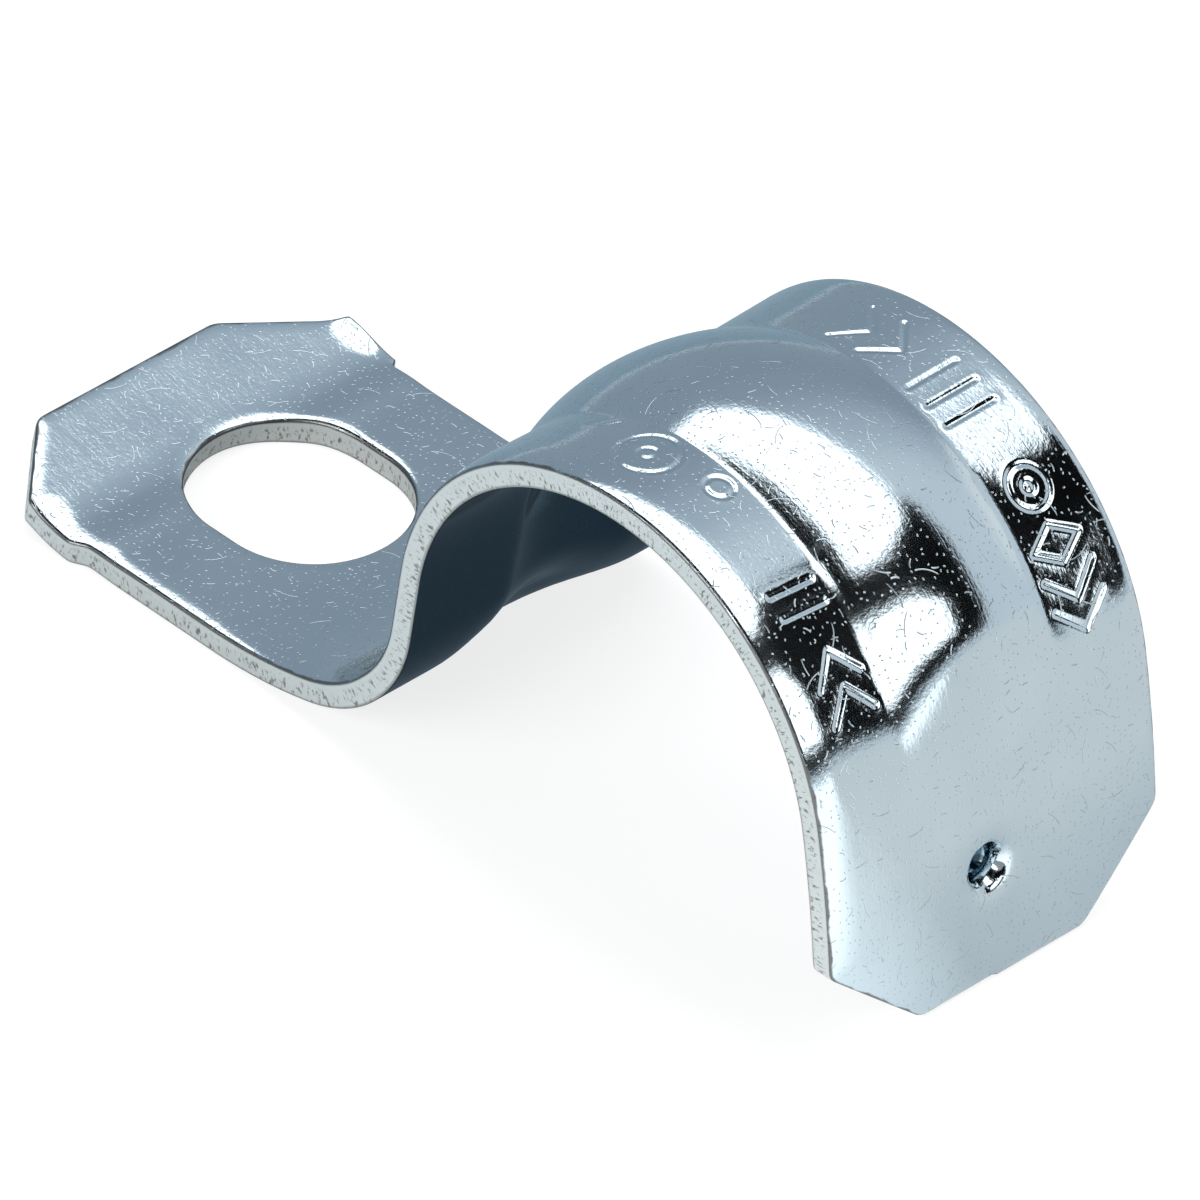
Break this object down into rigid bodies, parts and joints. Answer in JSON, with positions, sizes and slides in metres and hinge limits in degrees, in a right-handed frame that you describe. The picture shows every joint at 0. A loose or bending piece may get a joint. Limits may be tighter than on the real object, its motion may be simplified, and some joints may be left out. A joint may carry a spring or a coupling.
{
  "type": "conduit strap",
  "caption": "One-hole push-on strap for thin-wall conduit: flat screw foot with a slotted hole and a raised clipped head, ribbed open saddle, clipped tail with a small pierced hole.",
  "frame": {"origin": "on the axis of the conduit that the saddle holds, at the middle of the strip's width", "axes": "+Z away from the surface the strap is screwed to, +X along the strip from the screw foot to the saddle, +Y along the conduit"},
  "size_m": [0.0408, 0.015, 0.0175],
  "materials": {
    "zinc_plate": "bright blue-white zinc plate over cold-rolled steel strip"
  },
  "bodies": {
    "root": {"strap": "zinc_plate"}
  },
  "joints": []
}
